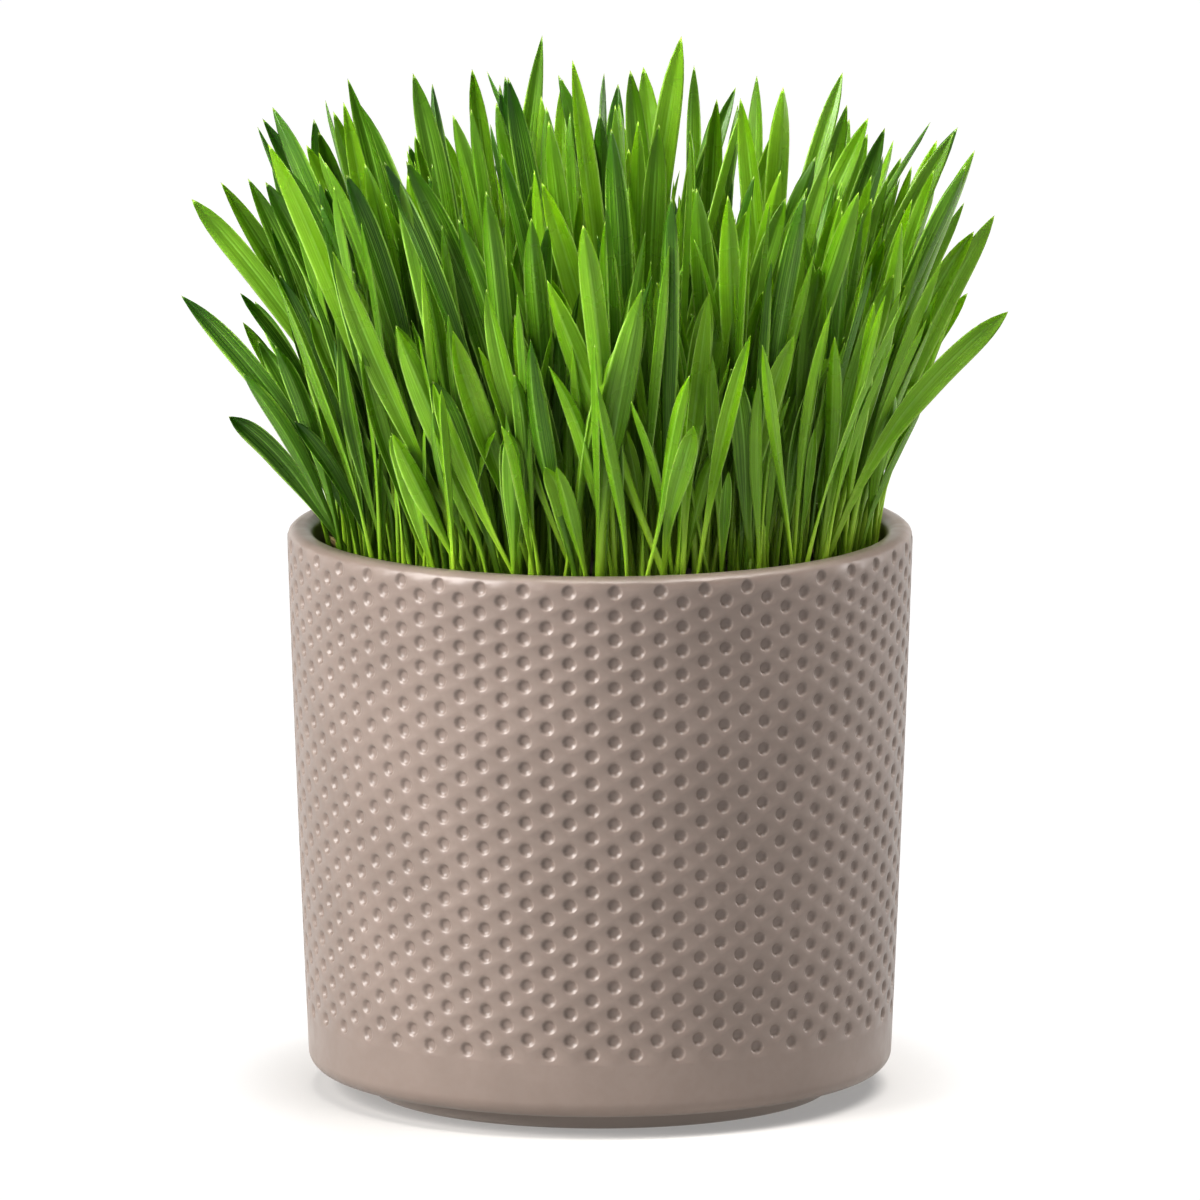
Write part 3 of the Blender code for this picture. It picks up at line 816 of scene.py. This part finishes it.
def make_husk(number, node, material):
    """A seed husk: a pointed hull with ridges and a slit where the shoot came out."""
    middle, ahead, length = husk_axes(node)
    side = ahead.cross(Vector((0, 0, 1))).normalized()
    out = side.cross(ahead)
    points = []
    faces = []
    values = {"along": [], "across": []}
    for ring in range(HUSK_RINGS + 1):
        along = ring / HUSK_RINGS
        swell = math.sin(math.pi * min(0.995, max(0.005, along)) ** 0.85) ** 0.7
        for index in range(HUSK_SIDES):
            angle = 2 * math.pi * index / HUSK_SIDES
            slit = math.exp(-((math.sin(angle / 2) / 0.16) ** 2))
            ridge = 1 + 0.06 * math.cos(7 * angle) - 0.30 * slit
            radius = HUSK_RADIUS * swell * ridge
            place = middle + ahead * length * (along - 0.5)
            place += side * radius * math.cos(angle) + out * radius * 0.8 * math.sin(angle)
            points.append(tuple(place))
            values["along"].append(along)
            values["across"].append(index / HUSK_SIDES)
    for ring in range(HUSK_RINGS):
        low = ring * HUSK_SIDES
        high = low + HUSK_SIDES
        for index in range(HUSK_SIDES):
            turned = (index + 1) % HUSK_SIDES
            faces.append((low + index, low + turned, high + turned, high + index))
    faces.append(tuple(range(HUSK_SIDES - 1, -1, -1)))
    faces.append(tuple(range(HUSK_RINGS * HUSK_SIDES, (HUSK_RINGS + 1) * HUSK_SIDES)))
    node_name = f"seed_husk_{number}"
    husk = new_piece(f"husk_hull_{number}", points, faces, material, [node_name], values)
    weld(husk.data)


def make_husks(material):
    """The husks; returns where each lies, for the leaves that keep clear of them."""
    places = []
    for number in (1, 2, 3):
        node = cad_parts[f"seed_husk_{number}"]
        make_husk(number, node, material)
        middle = husk_axes(node)[0]
        places.append(Vector((middle.x, middle.y, 0)))
    return places


# The leaves


def bezier(leaf, along):
    """A point of a leaf's curve, and its direction there."""
    first = leaf.root.lerp(leaf.knee, along)
    second = leaf.knee.lerp(leaf.tip, along)
    return first.lerp(second, along), (second - first).normalized()


def longest_side_last(ring):
    """The keel of a blade's three-cornered section, and the two edges opposite it."""
    pairs = ((0, 1, 2), (1, 2, 0), (2, 0, 1))
    edge = max(pairs, key=lambda pair: (ring[pair[0]].co - ring[pair[1]].co).length)
    return ring[edge[2]].co, ring[edge[0]].co, ring[edge[1]].co


def neighbours(ring, past):
    """The points that a ring is joined to, apart from its own and those already passed."""
    around = {edge.other_vert(vert) for vert in ring for edge in vert.link_edges}
    return sorted(around - set(ring) - set(past), key=lambda vert: vert.index)


def read_blades(node):
    """The blades of a tuft's solid, each as its curve, width and the ways that its face looks."""
    shape = bmesh.new()
    shape.from_mesh(node.data)
    bmesh.ops.remove_doubles(shape, verts=shape.verts, dist=SOLID_WELD)
    shape.verts.index_update()
    blades = []
    for tip in shape.verts:
        if len(tip.link_edges) != 3 or tip.co.z < CLUMP_TOP + 10 * MM:
            continue
        high = neighbours([tip], [])
        middle = neighbours(high, [tip])
        if len(middle) != 3:
            continue
        low = neighbours(middle, high)
        if len(low) != 3:
            continue
        blades.append(fit_blade(tip.co.copy(), high, middle, low))
    shape.free()
    return blades


def fit_blade(tip, high, middle, low):
    """The smooth curve through a blade's sections, and its face's direction at each."""
    centres = []
    keels = []
    for ring in (low, middle, high):
        keel, left, right = longest_side_last(ring)
        centres.append((left + right) / 2)
        keels.append(keel.copy())
        if ring is middle:
            width = (left - right).length
    slope = (centres[1] - centres[0]) / (STATION_MIDDLE - STATION_LOW)
    last_slope = (tip - centres[1]) / (1 - STATION_MIDDLE)
    bend = (last_slope - slope) / (1 - STATION_LOW)
    root = centres[0] - slope * STATION_LOW + bend * STATION_LOW * STATION_MIDDLE
    start = slope - bend * (STATION_LOW + STATION_MIDDLE)
    knee = root + start / 2
    looks = []
    for station, centre, keel in zip((STATION_LOW, STATION_MIDDLE, STATION_HIGH), centres, keels):
        looks.append((station, (centre - keel).normalized()))
    return root, knee, tip, width, looks


def tone_with_painted_light(root, tone):
    """A leaf's tone, 0 to 1, with painted light that makes it paler at the right of the head and painted
    shade that makes it deeper at the back.
    """
    return min(1, max(0, tone + PAINTED_LIGHT_RIGHT * root.x - PAINTED_SHADE_BACK * root.y))


def solid_leaves(node, draw):
    """The leaves that grow along the blades of a tuft's solid."""
    leaves = []
    for root, knee, tip, width, looks in read_blades(node):
        leaf = Leaf(
            root=root,
            knee=knee,
            tip=tip,
            width=width * VISIBLE_WIDTH,
            looks=tuple(looks),
            tone=tone_with_painted_light(root, draw.gauss(LEAF_TONE, LEAF_TONE_SPREAD)),
            widest=draw.uniform(0.66, 0.76),
            fullness=draw.uniform(3.2, 4.6),
            fold=draw.uniform(0.3, 1.2),
            sway=draw.uniform(-1.6, 1.6) * MM,
        )
        leaves.append(leaf)
    return leaves


def young_leaf(kind, husks, draw):
    """A further leaf of a kind, that leans outwards near the wall."""
    low, high = kind.ring
    taken = True
    while taken:
        radius = math.sqrt(draw.uniform(low * low, high * high))
        angle = draw.uniform(0, 2 * math.pi)
        root = Vector((radius * math.cos(angle), radius * math.sin(angle), 0))
        near_husk = min((root - husk).length for husk in husks) < HUSK_CLEARANCE
        taken = near_husk or (kind is SHORT_LEAVES and root.y < FOREMOST_EDGE)
    root.z = SOIL_TOP - 1 * MM
    spread = (radius / SOIL_RADIUS) ** 2
    lean = math.radians(2 + kind.outward * spread * draw.uniform(0.1, 1.2))
    swing = math.radians(max(-24, min(24, draw.gauss(0, kind.sideways))))
    out = Vector((math.cos(angle), math.sin(angle), 0))
    around = Vector((-math.sin(angle), math.cos(angle), 0))
    rise = (Vector((0, 0, 1)) + out * math.tan(lean) + around * math.tan(swing)).normalized()
    length = draw.uniform(*kind.length)
    tip = root + rise * length
    upward = (Vector((0, 0, 1)) - rise * rise.z).normalized()
    knee = (root + tip) / 2 + upward * (0.03 + 0.14 * math.sin(math.acos(rise.z))) * length
    turn = angle + math.pi + math.radians(draw.uniform(-kind.turn, kind.turn))
    twist = math.radians(draw.uniform(-40, 40))
    looks = []
    for station in (STATION_LOW, STATION_MIDDLE, STATION_HIGH):
        face = turn + twist * station
        looks.append((station, Vector((math.cos(face), math.sin(face), 0.15))))
    return Leaf(
        root=root,
        knee=knee,
        tip=tip,
        width=draw.uniform(*kind.width),
        looks=tuple(looks),
        tone=tone_with_painted_light(root, draw.gauss(kind.tone, YOUNG_TONE_SPREAD)),
        widest=draw.uniform(0.58, 0.72),
        fullness=draw.uniform(2.5, 3.8),
        fold=draw.uniform(0.3, 1.2),
        sway=draw.uniform(-1.6, 1.6) * MM,
        steps=YOUNG_STEPS,
    )


def foremost_leaf(row, draw):
    """One of the leaves that stand foremost, its broad side to the front."""
    rim_x, tip_x, tip_z, width, bow, tone, radius, lean = row
    rim = Vector((rim_x * MM, -math.sqrt((radius * MM) ** 2 - (rim_x * MM) ** 2), RIM_PASS))
    tip = Vector((tip_x * MM, rim.y - lean * MM, tip_z * MM))
    knee = (rim + tip) / 2 + Vector((2 * bow * MM, 0.2 * lean * MM, 0))
    start = (knee - rim) / (knee.z - rim.z)
    root = rim - start * (RIM_PASS - SOIL_TOP + 1 * MM)
    root.y = rim.y + 1 * MM
    turn = -math.pi / 2 + math.radians(draw.uniform(-30, 30)) + math.pi * draw.randrange(2)
    twist = math.radians(draw.uniform(-35, 35))
    looks = []
    for station in (STATION_LOW, STATION_MIDDLE, STATION_HIGH):
        face = turn + twist * (station - STATION_MIDDLE)
        looks.append((station, Vector((math.cos(face), math.sin(face), 0.1))))
    return Leaf(
        root=root,
        knee=knee,
        tip=tip,
        width=width * MM,
        looks=tuple(looks),
        tone=tone,
        widest=draw.uniform(0.58, 0.68),
        fullness=draw.uniform(2.2, 2.9),
        fold=draw.uniform(0.5, 1.2),
        sway=draw.uniform(-0.8, 0.8) * MM,
    )


def look_at(leaf, along):
    """The way a leaf's face looks at a place along it."""
    stations = [station for station, look in leaf.looks]
    low, middle, high = [look for station, look in leaf.looks]
    if along < stations[1]:
        share = (along - stations[0]) / (stations[1] - stations[0])
        return (low * (1 - share) + middle * share).normalized()
    share = min(1, (along - stations[1]) / (stations[2] - stations[1]))
    return (middle * (1 - share) + high * share).normalized()


def leaf_width(leaf, along):
    """A leaf's width: a narrow stem that widens slowly, and closes in a pointed tip."""
    if along < leaf.widest:
        grown = smooth((along - 0.1) / (leaf.widest - 0.1)) ** WIDENING
        return leaf.width * (STEM_SHARE + (1 - STEM_SHARE) * grown)
    closed = (along - leaf.widest) / (1 - leaf.widest)
    return leaf.width * (1 - closed**leaf.fullness)


def section(half, flat, fold):
    """A leaf's section as offsets (across, outwards, column, back), from a round stem to a folded leaf."""
    offsets = []
    back_columns = FACE_COLUMNS[-2:0:-1]
    for back, columns in ((0, FACE_COLUMNS), (1, back_columns)):
        for column in columns:
            rise = FOLD_DEPTH * fold * min(1, half / (2.4 * MM)) * (abs(column) ** 1.3 - 1)
            middle = math.exp(-((column / 0.2) ** 2))
            thick = LEAF_THICKNESS * (1 - 0.7 * column * column) + MIDRIB_THICKNESS * middle
            leaf_out = rise - (thick * min(1, half / (1.2 * MM)) if back else MIDRIB_GROOVE * middle)
            bulge = math.sqrt(1 - column * column) * STEM_DEPTH / 2
            stem_out = -0.6 * MM - bulge if back else -0.6 * MM + bulge
            offsets.append((column * half, stem_out * (1 - flat) + leaf_out * flat, column, back))
    return offsets


def add_leaf(leaf, points, faces, values):
    """The mesh of one leaf, closed at its root and running out in a point."""
    start = len(points)
    count = 2 * len(FACE_COLUMNS) - 2
    for step in range(leaf.steps):
        along = 0.985 * (step / (leaf.steps - 1)) ** 0.92
        centre, ahead = bezier(leaf, along)
        side = look_at(leaf, along).cross(ahead).normalized()
        out = ahead.cross(side)
        ripple = math.sin(math.pi * along) * math.sin(3 * along + 40 * leaf.tone)
        centre = centre + side * leaf.sway * ripple
        half = leaf_width(leaf, along) / 2
        flat = smooth((along - 0.08) / 0.34)
        for across, outward, column, back in section(half, flat, leaf.fold):
            points.append(tuple(centre + side * across + out * outward))
            values["across"].append(column)
            values["along"].append(along)
            values["tone"].append(leaf.tone)
            values["back"].append(back)
    for step in range(leaf.steps - 1):
        low = start + step * count
        high = low + count
        for side in range(count):
            turned = (side + 1) % count
            faces.append((low + side, low + turned, high + turned, high + side))
    tip = len(points)
    points.append(tuple(leaf.tip))
    for label, value in (("across", 0.0), ("along", 1.0), ("tone", leaf.tone), ("back", 0)):
        values[label].append(value)
    last = tip - count
    for side in range(count):
        faces.append((last + side, last + (side + 1) % count, tip))
    faces.append(tuple(range(start + count - 1, start - 1, -1)))


def make_leaves(clumps, husks, material):
    """One piece of leaves for each tuft: those of its solid and the younger ones beside them."""
    draw = random.Random(SEED)
    names = sorted(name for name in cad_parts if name.startswith("tuft"))
    tufts = [solid_leaves(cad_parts[name], draw) for name in names]
    further = [foremost_leaf(row, draw) for row in FOREMOST_LEAVES]
    for kind in (SHORT_LEAVES, THIN_LEAVES, STEMS):
        further += [young_leaf(kind, husks, draw) for index in range(kind.count)]
    for leaf in further:
        foot = Vector((leaf.root.x, leaf.root.y, 0))
        chosen = min(range(len(clumps)), key=lambda number: (clumps[number] - foot).length)
        tufts[chosen].append(leaf)
    for name, leaves in zip(names, tufts):
        points = []
        faces = []
        values = {"across": [], "along": [], "tone": [], "back": []}
        for leaf in leaves:
            add_leaf(leaf, points, faces, values)
        new_piece(name.replace("tuft", "leaves"), points, faces, material, [name], values)


# The studio


def make_floor(material):
    """A wide white floor."""
    half = FLOOR_HALF
    corners = [(-half, -half, 0), (half, -half, 0), (half, half, 0), (-half, half, 0)]
    mesh = bpy.data.meshes.new("floor")
    mesh.from_pydata(corners, [], [(0, 1, 2, 3)])
    mesh.materials.append(material)
    floor = bpy.data.objects.new("floor", mesh)
    bpy.context.scene.collection.objects.link(floor)


def add_area_light(name, place, width, height, watts):
    """A soft rectangular light at a place, turned to the object."""
    light = bpy.data.lights.new(name, "AREA")
    light.shape = "RECTANGLE"
    light.size = width
    light.size_y = height
    light.energy = watts
    item = bpy.data.objects.new(name, light)
    item.location = place
    item.rotation_euler = (LIGHTS_FACE - item.location).to_track_quat("-Z", "Y").to_euler()
    bpy.context.scene.collection.objects.link(item)


def make_world():
    """White all round near the horizon, and dimmer above."""
    world = bpy.data.worlds.new("white_room")
    bpy.context.scene.world = world
    world.use_nodes = True
    tree = world.node_tree
    place = tree.nodes.new("ShaderNodeTexCoord")
    height = tree.nodes.new("ShaderNodeSeparateXYZ")
    fade = tree.nodes.new("ShaderNodeMapRange")
    fade.interpolation_type = "SMOOTHSTEP"
    for index, value in enumerate((HORIZON_TOP, SKY_START, HORIZON_GLOW, SKY_LIGHT), 1):
        fade.inputs[index].default_value = value
    tree.links.new(place.outputs["Generated"], height.inputs[0])
    tree.links.new(height.outputs["Z"], fade.inputs[0])
    tree.links.new(fade.outputs[0], tree.nodes["Background"].inputs["Strength"])
    tree.nodes["Background"].inputs["Color"].default_value = (1, 1, 1, 1)


def make_lights():
    """Soft studio light: a wide key at the left, a soft box above, and a narrow strip at the right."""
    for light in LIGHTS:
        add_area_light(*light)


def make_camera():
    """The photograph's camera, and the picture's contrast."""
    data = bpy.data.cameras.new("camera")
    data.sensor_width = SENSOR_WIDTH
    data.lens = SENSOR_WIDTH * VIEW_DISTANCE / VIEW_SPAN
    data.clip_end = 50
    camera = bpy.data.objects.new("camera", data)
    away = Vector((0, -math.cos(VIEW_ELEVATION), math.sin(VIEW_ELEVATION)))
    camera.location = VIEW_TARGET + away * VIEW_DISTANCE
    camera.rotation_euler = (-away).to_track_quat("-Z", "Y").to_euler()
    bpy.context.scene.collection.objects.link(camera)
    bpy.context.scene.camera = camera
    bpy.context.scene.view_settings.view_transform = "Standard"
    bpy.context.scene.view_settings.gamma = CONTRAST_GAMMA


make_camera()
make_world()
make_lights()
make_floor(floor_material())
make_pot(glaze_material())
clumps = clump_places()
make_soil(clumps, soil_material())
straw = husk_material()
husks = make_husks(straw)
make_scraps(clumps, straw)
make_leaves(clumps, husks, leaf_material())
